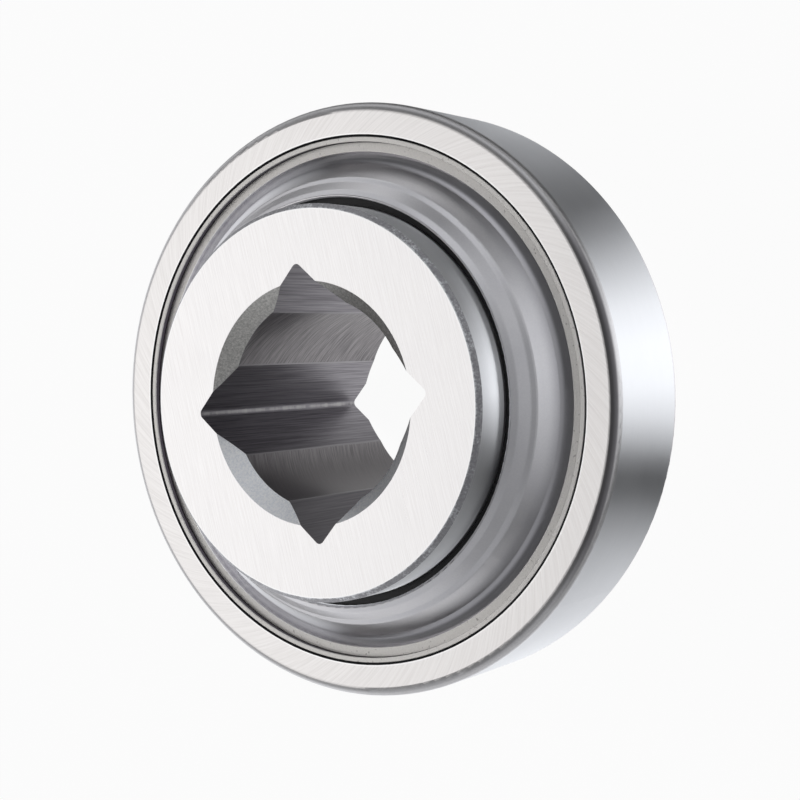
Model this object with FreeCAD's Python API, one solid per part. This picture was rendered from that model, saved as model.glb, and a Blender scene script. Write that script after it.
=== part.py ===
import FreeCAD, Part
import math
import os
from FreeCAD import Vector

# Sealed insert ball bearing with a square bore and a wide inner ring.
# Lengths are millimetres. The origin is the bearing's centre and +Z is its axis, out of the front.
# The two sides are alike: a back piece is the front piece turned over about the X axis.

# Balls and raceways
ball_count = 9
ball_diameter = 12.0
inner_ring_diameter = 52.0
seated_depth = 2.0          # how far a ball sits below the land beside its groove
race_clearance = 0.04       # air between a ball and the bottom of each groove
groove_conformity = 0.52    # radius of a groove's arc, as a share of the ball's diameter
outer_wall = 4.0            # steel behind the outer groove

# Inner ring and its bore
inner_ring_width = 36.5
inner_ring_chamfer = 0.65
bore_across_flats = 26.3    # takes a 1 inch square bar with room to slide
bore_corner_round = 0.8
drill_diameter = 27.9       # the round hole that was drilled before the square was broached
countersink_width = 2.05    # radial width of the 45 degree countersink at each end

# Cage of two pressed ribbons riveted together
pocket_clearance = 0.1
cage_sheet = 0.5
cage_band = 5.0             # radial width of the ribbon
rivet_diameter = 1.4
rivet_head_diameter = 2.4
rivet_head_height = 0.5
rivet_head_round = 0.2

# Seal pack, from the cage outwards to the outer ring's face
cage_end_gap = 0.2
retainer_sheet = 0.4
shroud_rim_thickness = 0.9
face_recess = 0.9           # how far the shroud's rim lies below the outer ring's face

# Outer ring
outer_corner_round = 1.3
shoulder_width = 1.45       # step between the land and the counterbore that takes the seal pack
counterbore_chamfer = 0.25

# Pressed shroud
seat_clearance = 0.05       # radial room between the counterbore and what sits in it
shroud_rim_width = 1.95
bead_width = 0.68           # raised bead round the outside of the rim
bead_recess = 0.12          # how far the bead's top lies below the outer ring's face
bead_edge_round = 0.1
rim_edge_round = 0.12
rim_step = 0.6              # drop from the flat rim to the foot of the cove inside it
cove_width = 1.35           # from the rim to where the lines of the cove and the cone meet
cove_rise = 0.43
cove_round = 2.0
shroud_sheet = 0.7
shroud_rise = 4.4           # how far the inner lip stands proud of the outer ring's face
cone_bulge = 0.42           # how far the cone's small pressed ledge stands above a straight cone
ledge_share = 0.45          # where the ledge is, as a share of the way from the cove to the lip
ledge_width = 0.6
ledge_rise = 0.48
ledge_round = 1.2
crown_width = 1.0           # flatter ring round the lip
crown_rise = 0.84
crown_round = 2.0
lip_edge_round = 0.2
shroud_gap = 1.1            # open ring between the shroud's lip and the inner ring

# Rubber seal on its steel retainer
seal_clearance = 0.05       # room between the rubber and the shroud over it
lip_count = 3
lip_gap = 0.1
lip_length = 1.1
lip_tip_width = 0.3
lip_lean = 0.35             # how far each lip leans outwards along the shaft
lip_root_share = 0.6        # width of a lip's root, as a share of the lips' spacing
seal_wall = 1.0             # rubber between the lips and the retainer's flange
web_edge = 0.8              # height of the rubber's outer edge, between retainer and shroud
flange_height = 2.0

# Radii of the raceways
ball_radius = ball_diameter / 2
inner_radius = inner_ring_diameter / 2
pitch_radius = inner_radius + ball_radius - seated_depth
outer_land_radius = pitch_radius + ball_radius - seated_depth
outer_radius = pitch_radius + ball_radius + outer_wall
groove_radius = groove_conformity * ball_diameter
inner_groove_centre = pitch_radius - ball_radius - race_clearance + groove_radius
outer_groove_centre = pitch_radius + ball_radius + race_clearance - groove_radius

# Heights above the bearing's middle plane
inner_half_width = inner_ring_width / 2
pocket_radius = ball_radius + pocket_clearance
cage_radius = pocket_radius + cage_sheet
seat_height = cage_radius + cage_end_gap
retainer_top = seat_height + retainer_sheet
rim_height = retainer_top + shroud_rim_thickness
outer_half_width = rim_height + face_recess
bead_height = outer_half_width - bead_recess
lip_height = outer_half_width + shroud_rise
flange_top = retainer_top + flange_height

# Radii of the seal pack
counterbore_radius = outer_land_radius + shoulder_width
seat_radius = counterbore_radius - seat_clearance
bead_inner_radius = seat_radius - bead_width
rim_inner_radius = seat_radius - shroud_rim_width
shroud_lip_radius = inner_radius + shroud_gap
lip_tip_radius = inner_radius + lip_gap
seal_bore_radius = lip_tip_radius + lip_length
flange_radius = seal_bore_radius + seal_wall

# Corners of the shroud's cone seen from outside, as (radius, height) from the cove up to the lip
cove = (rim_inner_radius - cove_width, rim_height - rim_step + cove_rise)
lip = (shroud_lip_radius, lip_height)
ledge_foot = (
    cove[0] + ledge_share * (lip[0] - cove[0]),
    cove[1] + ledge_share * (lip[1] - cove[1]) + cone_bulge,
)
ledge_top = (ledge_foot[0] - ledge_width, ledge_foot[1] + ledge_rise)
crown = (lip[0] + crown_width, lip[1] - crown_rise)


def corner_cuts(corners):
    """How far each corner's arc reaches along its two sides.

    Where the two arcs at a side's ends want more than nine tenths of it, they share that by what they want.
    """
    wanted = []
    for index, (point, rounding) in enumerate(corners):
        before = corners[index - 1][0] - point
        after = corners[(index + 1) % len(corners)][0] - point
        wanted.append(rounding / math.tan(before.getAngle(after) / 2))
    cuts = list(wanted)
    for index, (point, _) in enumerate(corners):
        following = (index + 1) % len(corners)
        room = 0.9 * (corners[following][0] - point).Length
        asked = wanted[index] + wanted[following]
        if asked > room:
            for end in (index, following):
                cuts[end] = min(cuts[end], wanted[end] * room / asked)
    return cuts


def rounded_wire(corners):
    """Closed wire through (point, rounding) corners, with a tangent arc at each rounded one."""
    cuts = corner_cuts(corners)
    stretches = []
    for index, (point, rounding) in enumerate(corners):
        if rounding <= 0:
            stretches.append((point, None, point))
            continue
        before = (corners[index - 1][0] - point).normalize()
        after = (corners[(index + 1) % len(corners)][0] - point).normalize()
        half_angle = before.getAngle(after) / 2
        radius = cuts[index] * math.tan(half_angle)
        bisector = (before + after).normalize()
        middle = point + bisector * (radius / math.sin(half_angle) - radius)
        stretches.append((point + before * cuts[index], middle, point + after * cuts[index]))
    edges = []
    for index, (start, middle, end) in enumerate(stretches):
        if middle is not None:
            edges.append(Part.Arc(start, middle, end).toShape())
        following = stretches[(index + 1) % len(stretches)][0]
        edges.append(Part.LineSegment(end, following).toShape())
    return Part.Wire(edges)


def turned_ring(outline):
    """Solid of revolution about Z from (radius, height) or (radius, height, rounding) corners."""
    corners = []
    for radius, height, *rounding in outline:
        corners.append((Vector(radius, 0, height), rounding[0] if rounding else 0))
    face = Part.Face(rounded_wire(corners))
    return face.revolve(Vector(0, 0, 0), Vector(0, 0, 1), 360)


def groove_ring(centre_radius):
    """The torus that a raceway is ground to."""
    return Part.makeTorus(centre_radius, groove_radius)


def spread(shape, angle):
    """A copy of a shape turned about the bearing's axis."""
    copy = shape.copy()
    copy.rotate(Vector(0, 0, 0), Vector(0, 0, 1), angle)
    return copy


def turned_over(shape):
    """The back side's copy of a front piece."""
    copy = shape.copy()
    copy.rotate(Vector(0, 0, 0), Vector(1, 0, 0), 180)
    return copy


def height_at(radius, start, end):
    """Height at a radius on the straight line through two (radius, height) points."""
    return start[1] + (end[1] - start[1]) * (radius - start[0]) / (end[0] - start[0])


def radius_at(height, start, end):
    """Radius at a height on the straight line through two (radius, height) points."""
    return start[0] + (end[0] - start[0]) * (height - start[1]) / (end[1] - start[1])


def lowered(depth):
    """The cone's line, without its ledge, moved square to itself down to a depth in the sheet.

    Its ends keep their radii, as on a sheet whose edges are cut parallel to the shaft.
    """
    line = [cove, ledge_top, lip]
    runs = []
    for (r0, z0), (r1, z1) in zip(line, line[1:]):
        slope = (z1 - z0) / (r1 - r0)
        drop = depth * math.hypot(1, slope)
        runs.append((slope, z0 - drop - slope * r0))
    (outer_slope, outer_start), (inner_slope, inner_start) = runs
    bend = (inner_start - outer_start) / (outer_slope - inner_slope)
    return [
        (cove[0], outer_start + outer_slope * cove[0]),
        (bend, outer_start + outer_slope * bend),
        (lip[0], inner_start + inner_slope * lip[0]),
    ]


def make_outer_ring():
    face_bore = counterbore_radius + counterbore_chamfer
    front = [
        (outer_land_radius, seat_height),
        (counterbore_radius, seat_height),
        (counterbore_radius, outer_half_width - counterbore_chamfer),
        (face_bore, outer_half_width),
        (outer_radius, outer_half_width, outer_corner_round),
    ]
    back = [(radius, -height, *rounding) for radius, height, *rounding in reversed(front)]
    return turned_ring(front + back).cut(groove_ring(outer_groove_centre))


def make_bore():
    """Everything that the bore takes out of the inner ring."""
    half = bore_across_flats / 2
    low = Vector(0, 0, -inner_half_width)
    square = [
        (Vector(x, y, 0) * half + low, bore_corner_round)
        for x, y in ((1, 1), (-1, 1), (-1, -1), (1, -1))
    ]
    broached = Part.Face(rounded_wire(square)).extrude(Vector(0, 0, inner_ring_width))
    drill_radius = drill_diameter / 2
    drilled = Part.makeCylinder(drill_radius, inner_ring_width, low)
    countersink = Part.makeCone(
        drill_radius, drill_radius + countersink_width, countersink_width,
        Vector(0, 0, inner_half_width - countersink_width),
    )
    return broached.fuse([drilled, countersink, turned_over(countersink)])


def make_inner_ring():
    shoulder = inner_half_width - inner_ring_chamfer
    blank = turned_ring([
        (0, -inner_half_width),
        (inner_radius - inner_ring_chamfer, -inner_half_width),
        (inner_radius, -shoulder),
        (inner_radius, shoulder),
        (inner_radius - inner_ring_chamfer, inner_half_width),
        (0, inner_half_width),
    ])
    return blank.cut([groove_ring(inner_groove_centre), make_bore()])


def make_ball():
    return Part.makeSphere(ball_radius, Vector(pitch_radius, 0, 0))


def make_front_cage():
    """One ribbon: a flat band with a half pocket pressed over each ball."""
    ball_angles = [360 / ball_count * index for index in range(ball_count)]
    band_inner = pitch_radius - cage_band / 2
    band_outer = pitch_radius + cage_band / 2
    tall = Part.makeCylinder(band_outer, cage_radius).cut(Part.makeCylinder(band_inner, cage_radius))
    band = Part.makeCylinder(band_outer, cage_sheet).cut(Part.makeCylinder(band_inner, cage_sheet))
    centre = Vector(pitch_radius, 0, 0)
    bulge = Part.makeSphere(cage_radius, centre).common(tall)
    pocket = Part.makeSphere(pocket_radius, centre)
    pressed = band.fuse([spread(bulge, angle) for angle in ball_angles])
    pressed = pressed.cut([spread(pocket, angle) for angle in ball_angles])
    holes = [rivet_shank(angle) for angle in rivet_angles()]
    return pressed.cut(holes)


def rivet_angles():
    """Rivets stand midway between the balls."""
    step = 360 / ball_count
    return [step * (index + 0.5) for index in range(ball_count)]


def rivet_shank(angle):
    shank = Part.makeCylinder(rivet_diameter / 2, 2 * cage_sheet, Vector(pitch_radius, 0, -cage_sheet))
    return spread(shank, angle)


def make_cage_rivets():
    """The rivets as one group of separate solids, each with a head on both sides."""
    head = Part.makeCylinder(rivet_head_diameter / 2, rivet_head_height, Vector(pitch_radius, 0, cage_sheet))
    crown = max((edge for edge in head.Edges if edge.isClosed()), key=lambda edge: edge.CenterOfMass.z)
    head = head.makeFillet(rivet_head_round, [crown])
    rivets = []
    for angle in rivet_angles():
        rivet = rivet_shank(angle).fuse([spread(head, angle), spread(turned_over(head), angle)])
        rivets.append(rivet.removeSplitter())
    return Part.makeCompound(rivets)


def make_front_shroud():
    """Pressed steel cap: a beaded flat rim in the counterbore, a cove, and a cone up to the inner lip."""
    foot, bend, low_lip = lowered(shroud_sheet)
    return turned_ring([
        (seat_radius, retainer_top),
        (seat_radius, bead_height, bead_edge_round),
        (bead_inner_radius, bead_height, bead_edge_round),
        (bead_inner_radius, rim_height),
        (rim_inner_radius, rim_height, rim_edge_round),
        (rim_inner_radius, rim_height - rim_step),
        (*cove, cove_round),
        (*ledge_foot, ledge_round),
        (*ledge_top, ledge_round),
        (*crown, crown_round),
        (*lip, lip_edge_round),
        low_lip,
        (*bend, ledge_round),
        (radius_at(retainer_top, foot, bend), retainer_top, cove_round),
    ])


def make_front_retainer():
    """Steel stiffener: a flat washer on the outer ring's shoulder with an upright inner flange."""
    flange_outer = flange_radius + retainer_sheet
    return turned_ring([
        (flange_radius, seat_height),
        (seat_radius, seat_height),
        (seat_radius, retainer_top),
        (flange_outer, retainer_top),
        (flange_outer, flange_top),
        (flange_radius, flange_top),
    ])


def make_front_seal():
    """Rubber moulded over the retainer's flange, with lips round the inner ring."""
    foot, bend, low_lip = lowered(shroud_sheet + seal_clearance)
    top = height_at(seal_bore_radius, bend, low_lip)
    web_top = retainer_top + web_edge
    web_radius = radius_at(web_top, foot, bend)
    spacing = (top - seat_height) / lip_count
    root = spacing * lip_root_share
    outline = []
    for index in range(lip_count):
        middle = seat_height + spacing * (index + 0.5)
        outline += [
            (seal_bore_radius, middle - root / 2),
            (lip_tip_radius, middle + lip_lean - lip_tip_width / 2),
            (lip_tip_radius, middle + lip_lean + lip_tip_width / 2),
            (seal_bore_radius, middle + root / 2),
        ]
    flange_outer = flange_radius + retainer_sheet
    outline += [
        (seal_bore_radius, top),
        (*bend, ledge_round),
        (web_radius, web_top),
        (web_radius, retainer_top),
        (flange_outer, retainer_top),
        (flange_outer, flange_top),
        (flange_radius, flange_top),
        (flange_radius, seat_height),
        (seal_bore_radius, seat_height),
    ]
    return turned_ring(outline)


def make_parts():
    parts = {
        "outer_ring": make_outer_ring(),
        "inner_ring": make_inner_ring(),
        "cage_rivets": make_cage_rivets(),
    }
    fronts = {
        "cage": make_front_cage(),
        "shroud": make_front_shroud(),
        "seal": make_front_seal(),
        "retainer": make_front_retainer(),
    }
    for name, shape in fronts.items():
        parts[f"front_{name}"] = shape
        parts[f"back_{name}"] = turned_over(shape)
    for index in range(ball_count):
        parts[f"ball_{index + 1}"] = spread(make_ball(), 360 / ball_count * index)
    return parts


os.makedirs("parts", exist_ok=True)
for node, solid in make_parts().items():
    solid.exportStep(f"parts/{node}.step")
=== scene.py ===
import math

import bmesh
import bpy
from mathutils import Matrix, Vector


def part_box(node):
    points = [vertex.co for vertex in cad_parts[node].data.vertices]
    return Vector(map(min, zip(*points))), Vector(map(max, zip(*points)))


# Sealed insert bearing with a square bore, lying on its inner ring's back end.
# Lengths are metres, and MM turns a size in millimetres into them. +Z is the bearing's axis.

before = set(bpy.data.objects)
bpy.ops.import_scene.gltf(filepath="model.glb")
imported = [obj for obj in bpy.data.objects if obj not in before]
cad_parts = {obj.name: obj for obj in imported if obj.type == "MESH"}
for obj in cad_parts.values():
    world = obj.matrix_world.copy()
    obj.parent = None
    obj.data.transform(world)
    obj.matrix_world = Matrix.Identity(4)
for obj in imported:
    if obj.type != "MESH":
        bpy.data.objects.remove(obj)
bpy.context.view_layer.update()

MM = 0.001

# Sizes read from the frame
OUTER_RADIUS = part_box("outer_ring")[1].x
OUTER_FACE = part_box("outer_ring")[1].z
INNER_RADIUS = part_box("inner_ring")[1].x
INNER_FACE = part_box("inner_ring")[1].z
SEAT_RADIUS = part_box("front_retainer")[1].x
LIP_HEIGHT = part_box("front_shroud")[1].z

# Other sizes of the outer ring
CORNER_ROUND = 1.3 * MM
SEAT_GAP = 0.05 * MM
MOUTH_CHAMFER = 0.25 * MM
EDGE_HIGHLIGHT = 0.22 * MM           # width of the painted highlight along a side face's edge

# Other sizes of the inner ring and its bore
INNER_CHAMFER = 0.65 * MM
DRILL_RADIUS = 13.95 * MM
SQUARE_HALF = 13.15 * MM
FLAT_START = math.sqrt(DRILL_RADIUS ** 2 - SQUARE_HALF ** 2)    # from the middle of each side of the square
COUNTERSINK_DEPTH = 2.05 * MM
BORE_CORNER_ROUND = 0.8 * MM
DRILL_SLANT = math.radians(62)  # of the drill's marks in the hole

# Other sizes of the shroud
RIM_WIDTH = 1.95 * MM
RIM_HEIGHT = 8.1 * MM
STEP_RADIUS = SEAT_RADIUS - RIM_WIDTH
BEAD_WIDTH = 0.68 * MM
BEAD_RADIUS = SEAT_RADIUS - BEAD_WIDTH
BEAD_RISE = 0.78 * MM

# Marks left by the tools
LINE_LEAN = 1.37                # how fast lines round the axis pass with height, beside with radius
BORE_LINES = 4.5                # lines to a millimetre, broached or drilled

# The shroud's cove swells outwards, by so many times the depth of its pressed relief, and is darkened by
# painted shade
SWELL_START = 30.8 * MM
SWELL_END = 33.2 * MM
SWELL = 16.0
COVE_SHADE_END = 32.2 * MM
COVE_SHADE_SHARE = 0.3
COVE_SHADE_COLOUR = (0.20, 0.19, 0.225, 1)

# The camera, as it stands towards the bearing
LENS = 72.1
SENSOR = 36.0
TURN = math.radians(-33.45)
TILT = math.radians(-2.25)
SPIN = math.radians(-40.6)
BEARING_IN_VIEW = Vector((-1.96 * MM, 0.21 * MM, -223.51 * MM))

# The studio. Azimuths are degrees round the bearing, from the picture's right towards its top.
FLOOR_SIZE = 6.0
FLOOR_COLOUR = (0.86, 0.86, 0.86, 1)
BACKDROP_SHARE = 0.95           # how much of the floor is plain white to the camera and in metal
ROOM_PEAK = 1.6                 # strength of the room and the cards, which their colours are shares of
ROOM_TINT = (0.955, 0.972, 1.0, 1)
CEILING_LEVEL = 0.1
CEILING = (180, 69, 40, 72)     # azimuth, elevation, and how far its dark reaches fully and at all
KEY_LAMP = (183, 47, 12, 36)    # the same for the soft lamp's light
KEY_LEVEL = 1.2
KEY_TINT = (1.0, 0.99, 0.985, 1)
LOW_WALL_TOP = 9                # elevation at which the low wall starts to give way to the high one
HIGH_WALL_FOOT = 20
LOW_WALL = (
    (-180, 1.0), (-135, 0.8), (-100, 0.7), (-84, 0.55), (-72, 0.3), (-47, 0.05), (-25, 0.6),
    (-8, 1.05), (9, 1.4), (28, 1.15), (47, 0.5), (60, 0.14), (80, 0.06), (93, 0.15), (106, 0.85),
    (126, 0.8), (150, 0.85), (180, 1.0),
)
HIGH_WALL = (
    (-180, 1.1), (-124, 1.0), (-93, 0.62), (-52, 0.45), (-27, 0.33), (0, 0.4), (24, 0.44),
    (46, 0.62), (69, 0.9), (92, 0.95), (110, 0.5), (125, 0.22), (150, 0.7), (180, 1.1),
)

# Flat cards that only reflections show: their radii, heights and brightness round the bearing
CARD_STEPS = 96
CARD_FADE = 7 * MM              # how softly a half card ends
FOOT_HEIGHT = 0.1 * MM - INNER_FACE
FOOT_INNER = 41 * MM
FOOT_OUTER = 68 * MM
FAR_FOOT_OUTER = 260 * MM
COLLAR_HEIGHT = LIP_HEIGHT + 0.25 * MM
COLLAR_INNER = INNER_RADIUS + 0.25 * MM
COLLAR_OUTER = INNER_RADIUS + 2.9 * MM
THROAT_HEIGHT = LIP_HEIGHT - 0.8 * MM
THROAT_INNER = INNER_RADIUS + 0.02 * MM
THROAT_OUTER = INNER_RADIUS + 1.05 * MM
RIM_CARD_HEIGHT = RIM_HEIGHT + 0.05 * MM
COVE_INNER = STEP_RADIUS - 1.45 * MM
RIM_OUTER = STEP_RADIUS + 1.2 * MM
FOOT_CARD = (
    (-180, 1.3), (-75, 1.45), (-60, 1.2), (-45, 0.95), (-38, 0.78), (-30, 0.45), (-23, 0.12),
    (-19, 0.05), (-15, 0.2), (-11, 0.65), (-5, 1.2), (2, 1.55), (12, 1.6), (20, 1.45), (26, 1.15),
    (32, 0.82), (40, 0.36), (47, 0.12), (55, 0.22), (63, 0.4), (76, 0.6), (88, 0.5), (100, 0.22),
    (132, 0.25), (152, 0.9), (180, 1.3),
)
FAR_FOOT_CARD = (
    (-180, 1.3), (-120, 1.2), (-105, 0.75), (-80, 0.72), (-60, 0.45), (-43, 0.28), (-30, 0.15),
    (-20, 0.02), (-11, 0.5), (0, 1.4), (12, 1.55), (22, 1.1), (30, 0.5), (40, 0.04), (60, 0.02),
    (95, 0.04), (110, 0.2), (132, 0.25), (152, 0.9), (180, 1.3),
)
COLLAR_CARD = (
    (-180, 0.6), (-70, 0.6), (-50, 0.42), (-32, 0.14), (-20, 0.02), (-13, 0.2), (-6, 0.7),
    (3, 1.3), (11, 1.2), (22, 0.72), (32, 0.36), (44, 0.16), (60, 0.16), (78, 0.12), (105, 0.5),
    (180, 0.6),
)
THROAT_CARD = (
    (-180, 0.9), (-85, 1.1), (-70, 1.1), (-60, 0.6), (-50, 0.46), (-40, 0.24), (-30, 0.07),
    (-20, 0.0), (-10, 0.1), (0, 0.28), (10, 0.36), (20, 0.2), (30, 0.12), (40, 0.13), (50, 0.2),
    (60, 0.28), (70, 0.16), (80, 0.14), (95, 0.2), (180, 0.9),
)
COVE_CARD = (
    (-180, 1.4), (-150, 1.4), (-135, 1.3), (-120, 0.95), (-105, 0.75), (-92, 0.35), (-85, 0.1),
    (95, 0.1), (105, 0.4), (118, 0.9), (135, 1.05), (150, 1.4), (180, 1.4),
)


class Wire:
    """An output socket of a node tree. Arithmetic on it adds Math nodes to that tree."""

    def __init__(self, tree, socket=None):
        self.tree = tree
        self.socket = socket

    def node(self, kind, settings, sockets, output=0):
        """Add a node, apply its settings, then fill or link its sockets, and return one output."""
        made = self.tree.nodes.new(kind)
        for name, value in settings.items():
            if name == "stops":
                lay_stops(made.color_ramp, value)
            else:
                setattr(made, name, value)
        for name, value in sockets.items():
            if isinstance(value, Wire):
                self.tree.links.new(value.socket, made.inputs[name])
            else:
                made.inputs[name].default_value = value
        return Wire(self.tree, made.outputs[output])

    def math(self, operation, *values):
        """The result of a Math node."""
        return self.node("ShaderNodeMath", {"operation": operation}, dict(enumerate(values)))

    def __add__(self, other):
        return self.math("ADD", self, other)

    def __sub__(self, other):
        return self.math("SUBTRACT", self, other)

    def __rsub__(self, other):
        return self.math("SUBTRACT", other, self)

    def __mul__(self, other):
        return self.math("MULTIPLY", self, other)

    def __truediv__(self, other):
        return self.math("DIVIDE", self, other)

    def __pow__(self, other):
        return self.math("POWER", self, other)

    def __abs__(self):
        return self.math("ABSOLUTE", self)

    __radd__ = __add__
    __rmul__ = __mul__


def lay_stops(ramp, stops):
    """Give a colour ramp its (place, colour) stops."""
    while len(ramp.elements) < len(stops):
        ramp.elements.new(1)
    for element, (place, colour) in zip(ramp.elements, stops):
        element.position = place
        element.color = colour


def fade(value, low, high):
    """0 below low, 1 above high, with a smooth change between them."""
    return value.node(
        "ShaderNodeMapRange", {"interpolation_type": "SMOOTHSTEP"},
        {"Value": value, "From Min": low, "From Max": high},
    )


def remap(value, low, high):
    """A 0 to 1 value stretched to run from low to high."""
    return value * (high - low) + low


def blend(factor, first, second):
    """Colour that goes from first to second."""
    return factor.node("ShaderNodeMix", {"data_type": "RGBA"}, {0: factor, 6: first, 7: second}, output=2)


def shade(factor, first, second):
    """Shader that goes from first to second."""
    return factor.node("ShaderNodeMixShader", {}, {0: factor, 1: first, 2: second})


class Place:
    """Where a point of the bearing is: its coordinates, its radius and its direction from the axis."""

    def __init__(self, start):
        self.point = start.node("ShaderNodeTexCoord", {}, {}, output="Object")
        self.x, self.y, self.z = [
            start.node("ShaderNodeSeparateXYZ", {}, {0: self.point}, output=axis) for axis in "XYZ"
        ]
        self.radius = (self.x * self.x + self.y * self.y) ** 0.5
        self.height = abs(self.z)
        self.across = self.x / self.radius
        self.along = self.y / self.radius

    def point_down(self):
        """How far the point lies from the axis towards the picture's bottom."""
        return self.x * math.sin(-SPIN) - self.y * math.cos(SPIN)

    def point_right(self):
        """How far the point lies from the axis towards the picture's right."""
        return self.x * math.cos(SPIN) - self.y * math.sin(SPIN)

    def vector(self, x, y, z):
        """Vector with these three parts."""
        return self.x.node("ShaderNodeCombineXYZ", {}, {0: x, 1: y, 2: z})

    def noise(self, vector, scale, detail=2.0, roughness=0.5):
        """Noise that has about one grain to each 1 / scale of the vector."""
        return self.x.node(
            "ShaderNodeTexNoise", {},
            {"Vector": vector, "Scale": scale, "Detail": detail, "Roughness": roughness},
        )

    def speckle(self, scale, detail=2.0, roughness=0.5):
        """Even noise with so many grains to a millimetre."""
        return self.noise(self.point, scale / MM, detail, roughness)

    def rings(self, scale, drift=1.5):
        """Fine lines that run round the axis, so many to a millimetre of radius or height."""
        depth = (self.radius + self.z * LINE_LEAN) * (scale / MM)
        return self.noise(self.vector(self.across * drift, self.along * drift, depth), 1.0)

    def spokes(self, count, lean=0.0, drift=0.2):
        """Fine strokes that run out from the axis, so many round it, leaning by so many radians."""
        outward = self.vector(self.across, self.along, 0.0)
        turned = self.x.node(
            "ShaderNodeVectorRotate", {"rotation_type": "Z_AXIS"},
            {"Vector": outward, "Angle": self.radius * (lean / OUTER_RADIUS)},
        )
        spread = self.x.node(
            "ShaderNodeVectorMath", {"operation": "SCALE"}, {0: turned, "Scale": count / math.tau}
        )
        lifted = self.x.node(
            "ShaderNodeVectorMath", {"operation": "ADD"},
            {0: spread, 1: self.vector(0.0, 0.0, self.radius * (drift / MM))},
        )
        return self.noise(lifted, 1.0)

    def strokes(self, angle, fine, drift):
        """Straight parallel scratches across the face at an angle, so many to a millimetre."""
        turned = self.x.node(
            "ShaderNodeVectorRotate", {"rotation_type": "Z_AXIS"}, {"Vector": self.point, "Angle": angle}
        )
        along, across = [
            self.x.node("ShaderNodeSeparateXYZ", {}, {0: turned}, output=axis) for axis in "XY"
        ]
        stretched = self.vector(along * (drift / MM), across * (fine / MM), 0.0)
        return self.noise(stretched, 1.0, 3.0, 0.6)


def steel(place, colour, roughness, relief, depth, grain=0.0):
    """A metal finish: a colour and a roughness that vary, and a relief that is depth millimetres high."""
    bump = place.x.node("ShaderNodeBump", {}, {"Strength": 1.0, "Distance": depth * MM, "Height": relief})
    return place.x.node(
        "ShaderNodeBsdfPrincipled", {},
        {
            "Base Color": colour, "Roughness": roughness, "Normal": bump,
            "Metallic": 1.0, "Anisotropic": grain, "Anisotropic Rotation": 0.25,
        },
    )


def ground_face(place, lines, dark, light, wear_and_highlight):
    """Side face ground bright, with fine strokes in it and a painted highlight along its edge."""
    cloud = place.speckle(0.08)
    ground = blend(lines * 0.6 + cloud * 0.4, dark, light)
    colour = blend(wear_and_highlight, ground, (0.95, 0.95, 0.95, 1))
    return steel(place, colour, remap(cloud, 0.24, 0.32) + lines * 0.06, lines, depth=0.004)


def ground_side(place):
    """Outside diameter, ground to size, with fine lines round it."""
    lines = place.rings(9)
    cloud = place.speckle(0.3)
    colour = blend(lines * 0.5 + cloud * 0.5, (0.74, 0.745, 0.76, 1), (0.86, 0.865, 0.88, 1))
    return steel(place, colour, remap(cloud, 0.34, 0.40), lines, depth=0.003, grain=0.9)


def turned_corner(place):
    """Rounded corner, turned a little rough, with a painted dark reflection on its upper part towards the
    picture's right.
    """
    spots = place.speckle(3.5, 4.0, 0.7)
    lines = place.rings(5)
    corner_colour = blend(spots * 0.7 + lines * 0.3, (0.47, 0.46, 0.465, 1), (0.76, 0.75, 0.755, 1))
    upper = fade(place.height, OUTER_FACE - 0.7 * MM, OUTER_FACE - 0.4 * MM)
    # painted dark reflection: the corner's upper part is darkened towards the picture's right
    painted_dim = fade(place.point_right(), 0.72 * OUTER_RADIUS, 0.92 * OUTER_RADIUS) * upper
    colour = blend(painted_dim, corner_colour, (0.25, 0.24, 0.25, 1))
    return steel(place, colour, remap(spots, 0.34, 0.44), spots * 0.5 + lines * 0.5, depth=0.006)


def painted_shade_chamfer(place):
    """Narrow chamfer painted near black, as painted shade in the gap at the ring's mouth."""
    spots = place.speckle(3.0)
    # near black: painted shade in the gap at the ring's mouth
    colour = blend(spots, (0.01, 0.01, 0.012, 1), (0.05, 0.05, 0.055, 1))
    return steel(place, colour, remap(spots, 0.5, 0.7), spots, depth=0.01)


def turned_steel(place):
    """Turned surface that no wheel has touched, as in the counterbore and behind the seals."""
    lines = place.rings(4)
    colour = blend(lines, (0.34, 0.33, 0.32, 1), (0.62, 0.61, 0.59, 1))
    return steel(place, colour, remap(lines, 0.3, 0.45), lines, depth=0.006)


def outer_ring_finish(start):
    """Ground side and faces, turned corners and counterbore, and a chamfer at its mouth painted near black
    as shade.
    """
    place = Place(start)
    round_start = OUTER_FACE - CORNER_ROUND
    chamfer_start = OUTER_FACE - MOUTH_CHAMFER
    side = ground_side(place)
    on_side = fade(place.radius, SEAT_RADIUS + 1 * MM, SEAT_RADIUS + 1.2 * MM)
    on_wall = fade(place.radius, SEAT_RADIUS - 0.02 * MM, SEAT_RADIUS + 0.02 * MM)
    on_chamfer = fade(place.height, chamfer_start - 0.06 * MM, chamfer_start)
    on_corner = fade(place.height, round_start - 0.05 * MM, round_start + 0.1 * MM)
    on_face = fade(place.height, OUTER_FACE - 0.03 * MM, OUTER_FACE - 0.01 * MM)
    mouth = shade(on_wall, turned_steel(place), shade(on_chamfer, side, painted_shade_chamfer(place)))
    blank = shade(on_side, mouth, shade(on_corner, side, turned_corner(place)))
    face_start = SEAT_RADIUS + SEAT_GAP + MOUTH_CHAMFER
    # painted highlight along the face's inner edge
    wear_and_highlight = 1 - fade(place.radius, face_start + 0.4 * EDGE_HIGHLIGHT, face_start + EDGE_HIGHLIGHT)
    strokes = fade(place.spokes(600, lean=1.2), 0.2, 0.8)
    face = ground_face(place, strokes, (0.67, 0.655, 0.65, 1), (0.915, 0.90, 0.895, 1), wear_and_highlight)
    return shade(on_face, blank, face)


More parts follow.
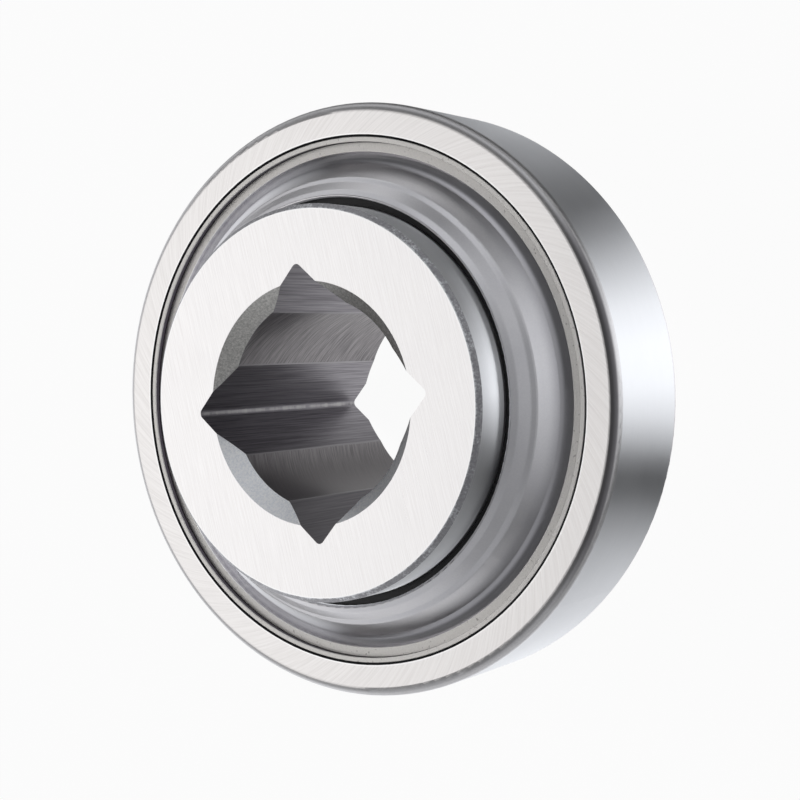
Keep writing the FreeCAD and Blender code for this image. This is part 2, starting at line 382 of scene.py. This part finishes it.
def broached_steel(place):
    """Bore wall broached along the axis, with worn corners, a painted highlight where each flat meets the
    drilled arc, and painted shade that darkens it towards the picture's bottom.
    """
    fine = BORE_LINES / MM
    lines = place.noise(place.vector(place.x * fine, place.y * fine, place.z * (0.07 / MM)), 1.0, 3.0, 0.7)
    rough = place.noise(place.vector(0.0, 0.0, place.z * (0.4 / MM)), 1.0, 6.0, 0.7)
    corner = 2 * SQUARE_HALF - (2 - math.sqrt(2)) * BORE_CORNER_ROUND
    reach = abs(place.x) + abs(place.y) + remap(rough, -0.2, 0.2) * MM
    wear_and_highlight = fade(reach, corner - 0.07 * MM, corner) * fade(rough, 0.25, 0.7)
    narrow = place.x.math("MINIMUM", abs(place.x), abs(place.y))
    # painted highlight along the line where each flat meets the drilled arc
    painted_edge_highlight = 1 - fade(narrow, FLAT_START + 0.06 * MM, FLAT_START + 0.2 * MM)
    pale = blend(fade(lines, 0.3, 0.7), (0.165, 0.155, 0.175, 1), (0.40, 0.386, 0.415, 1))
    dark = blend(fade(lines, 0.3, 0.7), (0.058, 0.054, 0.062, 1), (0.13, 0.124, 0.135, 1))
    # painted shade: the wall is darker towards the picture's bottom
    bottom_painted_shading = fade(place.point_down(), -0.3 * DRILL_RADIUS, 0.9 * DRILL_RADIUS)
    colour = blend(painted_edge_highlight * 0.2 + wear_and_highlight * 0.8, blend(bottom_painted_shading, pale, dark), (0.46, 0.455, 0.45, 1))
    return steel(place, colour, remap(lines, 0.36, 0.52), lines, depth=0.01)


def drilled_steel(place):
    """Wall of the drilled hole, with slanting marks, and painted shade that darkens it towards the
    picture's bottom.
    """
    turn = place.y.math("ARCTAN2", place.y, 0 - place.x) * DRILL_RADIUS
    fine = turn * math.cos(DRILL_SLANT) + place.z * math.sin(DRILL_SLANT)
    coarse = place.z * math.cos(DRILL_SLANT) - turn * math.sin(DRILL_SLANT)
    lines = place.noise(place.vector(fine * (BORE_LINES / MM), coarse * (0.2 / MM), 0.0), 1.0, 3.0, 0.65)
    pale = blend(fade(lines, 0.3, 0.7), (0.13, 0.124, 0.132, 1), (0.335, 0.32, 0.33, 1))
    dark = blend(fade(lines, 0.2, 0.8), (0.068, 0.063, 0.066, 1), (0.10, 0.094, 0.097, 1))
    # painted shade: the wall is darker towards the picture's bottom
    bottom_painted_shading = fade(place.point_down(), 0.2 * DRILL_RADIUS, 0.8 * DRILL_RADIUS)
    return steel(place, blend(bottom_painted_shading, pale, dark), remap(lines, 0.3, 0.45), lines, depth=0.008)


def countersunk_steel(place):
    """Countersink, cut rough and sparkling, with painted light that brightens it towards the picture's
    bottom.
    """
    spots = place.speckle(3.2, 4.0, 0.8)
    # painted light: the countersink is brighter towards the picture's bottom
    bottom_painted_shading = fade(place.point_down(), -0.3 * DRILL_RADIUS, 0.6 * DRILL_RADIUS)
    painted_dim = blend(fade(spots, 0.35, 0.7), (0.44, 0.43, 0.41, 1), (0.80, 0.78, 0.75, 1))
    painted_bright = blend(fade(spots, 0.35, 0.62), (0.80, 0.82, 0.86, 1), (1.0, 1.0, 1.0, 1))
    return steel(place, blend(bottom_painted_shading, painted_dim, painted_bright), remap(spots, 0.36, 0.5), spots, depth=0.025)


def chamfered_steel(place):
    """Chamfer at the inner ring's ends, rough and pitted with a bright broken edge."""
    spots = place.speckle(3.5, 5.0, 0.7)
    patches = place.speckle(0.6, 2.0, 0.5)
    edge = fade(place.height, INNER_FACE - 0.2 * MM, INNER_FACE - 0.02 * MM)
    wear_and_highlight = fade(spots * 0.6 + patches * 0.4 + edge * 0.16, 0.5, 0.7)
    rough = blend(fade(spots, 0.3, 0.7), (0.25, 0.245, 0.26, 1), (0.40, 0.395, 0.41, 1))
    colour = blend(wear_and_highlight, rough, (0.76, 0.77, 0.79, 1))
    return steel(place, colour, remap(spots, 0.34, 0.5), spots, depth=0.012)


def inner_ring_finish(start):
    """Ground side and faces, pitted chamfers, and a bore that was drilled, broached and countersunk."""
    place = Place(start)
    mouth = INNER_FACE - COUNTERSINK_DEPTH
    square = place.x.math("MAXIMUM", abs(place.x), abs(place.y))
    on_flat = fade(square, SQUARE_HALF - 0.06 * MM, SQUARE_HALF - 0.02 * MM)
    in_mouth = fade(place.height, mouth, mouth + 0.03 * MM)
    off_flat = 1 - fade(square, SQUARE_HALF + 0.03 * MM, SQUARE_HALF + 0.08 * MM)
    on_shaft = fade(place.radius, INNER_RADIUS - 1.2 * MM, INNER_RADIUS - 0.9 * MM)
    chamfer_start = INNER_FACE - INNER_CHAMFER
    on_chamfer = fade(place.height, chamfer_start - 0.03 * MM, chamfer_start + 0.03 * MM)
    on_face = fade(place.height, INNER_FACE - 0.02 * MM, INNER_FACE - 0.005 * MM)
    cone_height = place.radius - DRILL_RADIUS + mouth       # of the 45 degree countersink
    on_cone = in_mouth * (1 - fade(abs(place.height - cone_height), 0.03 * MM, 0.08 * MM))
    bore = shade(on_flat * off_flat, drilled_steel(place), broached_steel(place))
    in_corner = fade(place.radius, DRILL_RADIUS + 0.05 * MM, DRILL_RADIUS + 0.1 * MM)
    bore = shade(in_corner, bore, broached_steel(place))
    bore = shade(on_cone, bore, countersunk_steel(place))
    outside = shade(on_chamfer, ground_side(place), chamfered_steel(place))
    blank = shade(on_shaft, bore, outside)
    strokes = fade(place.strokes(math.radians(35), 6, 0.15), 0.25, 0.75)
    face_end = INNER_RADIUS - INNER_CHAMFER
    # painted highlight along the face's outer edge
    wear_and_highlight = fade(place.radius, face_end - EDGE_HIGHLIGHT, face_end)
    face = ground_face(place, strokes, (0.74, 0.73, 0.733, 1), (0.97, 0.962, 0.965, 1), wear_and_highlight)
    return shade(on_face, blank, face)


def pressed_steel(place):
    """Cap pressed from sheet: satin with faint mottling, and darkened by painted shade from the cone to the
    cove.
    """
    cloud = place.speckle(0.25)
    grains = place.speckle(4.0, 3.0, 0.6)
    lines = place.rings(3)
    mottle = cloud * 0.4 + grains * 0.45 + lines * 0.15
    colour = blend(mottle, (0.56, 0.55, 0.58, 1), (0.77, 0.76, 0.765, 1))
    # painted shade: the cone darkens towards the cove
    cove_shade = fade(place.radius, SWELL_START, COVE_SHADE_END) * COVE_SHADE_SHARE
    relief = grains * 0.35 + lines * 0.35 + fade(place.radius, SWELL_START, SWELL_END) * SWELL
    return steel(place, blend(cove_shade, colour, COVE_SHADE_COLOUR), remap(cloud, 0.26, 0.32), relief, depth=0.005)


def blasted_rim(place):
    """Flat rim of the cap and the bead round it: pale, rough and speckled, with painted shade on the bead's
    wall, a painted highlight along the rim's inner edge and the bead's top painted lighter.
    """
    grains = place.speckle(4.5, 4.0, 0.7)
    pits = fade(place.speckle(1.6, 3.0, 0.6), 0.62, 0.72)
    on_bead = fade(place.height, RIM_HEIGHT + 0.1 * MM, RIM_HEIGHT + 0.5 * MM)
    edge = 1 - fade(place.radius, STEP_RADIUS + 0.06 * MM, STEP_RADIUS + 0.16 * MM)
    off_wall = fade(abs(place.radius - BEAD_RADIUS), 0.02 * MM, 0.05 * MM)
    bead_top = RIM_HEIGHT + BEAD_RISE
    above_wall = fade(place.height, bead_top - 0.12 * MM, bead_top - 0.06 * MM)
    # painted shade on the bead's wall
    painted_wall_shade = 1 - off_wall.math("MAXIMUM", off_wall, above_wall)
    pale = blend(grains, (0.62, 0.605, 0.585, 1), (0.90, 0.88, 0.855, 1))
    marked = blend(pits * 0.7, pale, (0.28, 0.265, 0.25, 1))
    # painted highlight along the rim's inner edge, and the bead's top painted lighter
    painted_bright = blend(edge * 0.5 + on_bead * 0.25, marked, (0.95, 0.94, 0.91, 1))
    colour = blend(painted_wall_shade, painted_bright, (0.05, 0.043, 0.052, 1))
    return steel(place, colour, remap(grains, 0.45, 0.6), grains, depth=0.025)


def shroud_finish(start):
    """Pressed cap inside the step, and rough rim outside it."""
    place = Place(start)
    on_rim = fade(place.radius, STEP_RADIUS - 0.02 * MM, STEP_RADIUS + 0.02 * MM)
    return shade(on_rim, pressed_steel(place), blasted_rim(place))


def rubber_finish(start):
    """Black moulded rubber."""
    place = Place(start)
    grains = place.speckle(5.0)
    bump = start.node("ShaderNodeBump", {}, {"Distance": 0.01 * MM, "Height": grains})
    return start.node(
        "ShaderNodeBsdfPrincipled", {},
        {
            "Base Color": blend(grains, (0.012, 0.012, 0.013, 1), (0.03, 0.03, 0.032, 1)),
            "Roughness": remap(grains, 0.45, 0.6), "Normal": bump,
        },
    )


def polished_ball(start):
    """Lapped bearing steel, with a mirror finish."""
    place = Place(start)
    cloud = place.speckle(0.5)
    colour = blend(cloud, (0.74, 0.74, 0.75, 1), (0.82, 0.82, 0.83, 1))
    return steel(place, colour, remap(cloud, 0.05, 0.1), cloud, depth=0.001)


def cage_finish(start):
    """Grey pressed sheet, as it left the press."""
    place = Place(start)
    grains = place.speckle(3.0)
    colour = blend(grains, (0.42, 0.41, 0.40, 1), (0.56, 0.55, 0.54, 1))
    return steel(place, colour, remap(grains, 0.3, 0.45), grains, depth=0.01)


def material(name, finish):
    """A material whose surface a finish function makes."""
    made = bpy.data.materials.new(name)
    made.use_nodes = True
    made.node_tree.nodes.clear()
    start = Wire(made.node_tree)
    surface = finish(start)
    output = made.node_tree.nodes.new("ShaderNodeOutputMaterial")
    made.node_tree.links.new(surface.socket, output.inputs["Surface"])
    return made


def dress(material_made, *nodes):
    """Give CAD nodes their material."""
    for name in nodes:
        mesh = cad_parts[name].data
        mesh.materials.clear()
        mesh.materials.append(material_made)


def direction(azimuth, elevation):
    """Unit vector towards a place in the room."""
    around = math.radians(azimuth) - SPIN
    up = math.radians(elevation)
    return (math.cos(around) * math.cos(up), math.sin(around) * math.cos(up), math.sin(up))


def soft_box(view, azimuth, elevation, inner, outer):
    """Share of a round soft spot in the room, 1 within inner and 0 beyond outer degrees of its middle."""
    facing = view.node(
        "ShaderNodeVectorMath", {"operation": "DOT_PRODUCT"}, {0: view, 1: direction(azimuth, elevation)},
        output="Value",
    )
    return fade(facing, math.cos(math.radians(outer)), math.cos(math.radians(inner)))


def in_picture(vector):
    """A direction's three parts, with the first along the picture's right and the third up the axis."""
    turned = vector.node(
        "ShaderNodeVectorRotate", {"rotation_type": "Z_AXIS"}, {"Vector": vector, "Angle": SPIN}
    )
    return [vector.node("ShaderNodeSeparateXYZ", {}, {0: turned}, output=axis) for axis in "XYZ"]


def grey_level(level, tint=ROOM_TINT):
    """Colour that gives this level at the room's strength."""
    return (*[part * level / ROOM_PEAK for part in tint[:3]], 1)


def round_levels(across, up, levels):
    """Level that goes round the bearing through (azimuth, level) stops, in the direction of these parts."""
    share = up.math("ARCTAN2", up, across) / math.tau + 0.5
    stops = [((azimuth + 180) / 360, grey_level(level)) for azimuth, level in levels]
    return share.node("ShaderNodeValToRGB", {"stops": stops}, {0: share})


def light_room():
    """Walls with bright and dark stretches, a dark ceiling and a soft lamp; white to the camera."""
    world = bpy.data.worlds.new("studio_room")
    world.use_nodes = True
    world.node_tree.nodes.clear()
    start = Wire(world.node_tree)
    view = start.node("ShaderNodeTexCoord", {}, {}, output="Generated")
    across, up, height = in_picture(view)
    rise = fade(height, math.sin(math.radians(LOW_WALL_TOP)), math.sin(math.radians(HIGH_WALL_FOOT)))
    walls = blend(rise, round_levels(across, up, LOW_WALL), round_levels(across, up, HIGH_WALL))
    room = blend(soft_box(view, *CEILING), walls, grey_level(CEILING_LEVEL))
    room = blend(soft_box(view, *KEY_LAMP), room, grey_level(KEY_LEVEL, KEY_TINT))
    lit = start.node("ShaderNodeBackground", {}, {"Color": room, "Strength": ROOM_PEAK})
    white = start.node("ShaderNodeBackground", {}, {"Color": (1, 1, 1, 1), "Strength": 1.0})
    camera_ray = start.node("ShaderNodeLightPath", {}, {}, output="Is Camera Ray")
    surface = shade(camera_ray, lit, white)
    output = world.node_tree.nodes.new("ShaderNodeOutputWorld")
    world.node_tree.links.new(surface.socket, output.inputs["Surface"])
    bpy.context.scene.world = world


def lay_card(name, inner, outer, height, levels, underside=False, half=False):
    """A flat ring that glows by its levels and that only reflections show.

    Its lower face glows too if underside is true, and is clear otherwise. A half card is clear on the
    picture's right.
    """

    def glow(start):
        point = start.node("ShaderNodeTexCoord", {}, {}, output="Object")
        across, up, _ = in_picture(point)
        colour = round_levels(across, up, levels)
        lit = start.node("ShaderNodeEmission", {}, {"Color": colour, "Strength": ROOM_PEAK})
        clear = start.node("ShaderNodeBsdfTransparent", {}, {})
        lower_face = start.node("ShaderNodeNewGeometry", {}, {}, output="Backfacing")
        below = lower_face * (0 if underside else 1)
        beyond = fade(across, -CARD_FADE, 0.0) * (1 if half else 0)
        return shade(below.math("MAXIMUM", below, beyond), lit, clear)

    mesh = bpy.data.meshes.new(name)
    ring = bmesh.new()
    ends = [ring.verts.new((radius, 0, height)) for radius in (inner, outer)]
    edge = ring.edges.new(ends)
    bmesh.ops.spin(
        ring, geom=[*ends, edge], cent=(0, 0, 0), axis=(0, 0, 1), angle=math.tau, steps=CARD_STEPS,
        use_merge=True,
    )
    for face in ring.faces:
        if face.normal.z < 0:
            face.normal_flip()
    ring.to_mesh(mesh)
    ring.free()
    mesh.materials.append(material(name, glow))
    card = bpy.data.objects.new(name, mesh)
    card.visible_camera = False
    card.visible_diffuse = False
    card.visible_shadow = False
    card.visible_transmission = False
    bpy.context.scene.collection.objects.link(card)


def paper(start):
    """Pale floor that looks white to the camera, in metal and through glass, and keeps a soft shadow."""
    rays = [
        start.node("ShaderNodeLightPath", {}, {}, output=name)
        for name in ("Is Camera Ray", "Is Glossy Ray", "Is Transmission Ray")
    ]
    seen = rays[0]
    for ray in rays[1:]:
        seen = seen.math("MAXIMUM", seen, ray)
    lit = start.node("ShaderNodeBsdfDiffuse", {}, {"Color": FLOOR_COLOUR})
    white = start.node("ShaderNodeEmission", {}, {"Color": (1, 1, 1, 1), "Strength": 1.0})
    return shade(seen * BACKDROP_SHARE, lit, white)


def lay_floor():
    """The floor that the bearing's back end rests on."""
    mesh = bpy.data.meshes.new("floor")
    plan = bmesh.new()
    bmesh.ops.create_grid(plan, x_segments=1, y_segments=1, size=FLOOR_SIZE / 2)
    bmesh.ops.translate(plan, verts=plan.verts, vec=(0, 0, -INNER_FACE))
    plan.to_mesh(mesh)
    plan.free()
    mesh.materials.append(material("pale_floor", paper))
    floor = bpy.data.objects.new("floor", mesh)
    bpy.context.scene.collection.objects.link(floor)


def place_camera():
    """The camera at the photograph's viewing angle."""
    data = bpy.data.cameras.new("camera")
    data.lens = LENS
    data.sensor_width = SENSOR
    camera = bpy.data.objects.new("camera", data)
    facing = Matrix.Rotation(TURN, 4, "Y") @ Matrix.Rotation(-TILT, 4, "X") @ Matrix.Rotation(SPIN, 4, "Z")
    camera.matrix_world = (Matrix.Translation(BEARING_IN_VIEW) @ facing).inverted()
    bpy.context.scene.collection.objects.link(camera)
    bpy.context.scene.camera = camera


bpy.context.scene.view_settings.view_transform = "Standard"
place_camera()
light_room()
lay_floor()
lay_card("foot_card", FOOT_INNER, FOOT_OUTER, FOOT_HEIGHT, FOOT_CARD)
lay_card("far_foot_card", FOOT_OUTER, FAR_FOOT_OUTER, FOOT_HEIGHT, FAR_FOOT_CARD)
lay_card("collar_card", COLLAR_INNER, COLLAR_OUTER, COLLAR_HEIGHT, COLLAR_CARD)
lay_card("throat_card", THROAT_INNER, THROAT_OUTER, THROAT_HEIGHT, THROAT_CARD)
lay_card("cove_card", COVE_INNER, STEP_RADIUS, RIM_CARD_HEIGHT, COVE_CARD, underside=True, half=True)
lay_card("rim_card", STEP_RADIUS, RIM_OUTER, RIM_CARD_HEIGHT, COVE_CARD, half=True)

balls = [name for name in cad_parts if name.startswith("ball_")]
dress(material("outer_ring_steel", outer_ring_finish), "outer_ring")
dress(material("inner_ring_steel", inner_ring_finish), "inner_ring")
dress(material("pressed_shroud", shroud_finish), "front_shroud", "back_shroud")
dress(material("seal_rubber", rubber_finish), "front_seal", "back_seal")
dress(material("cage_steel", cage_finish), "front_cage", "back_cage", "cage_rivets")
dress(material("retainer_steel", cage_finish), "front_retainer", "back_retainer")
dress(material("polished_ball", polished_ball), *balls)
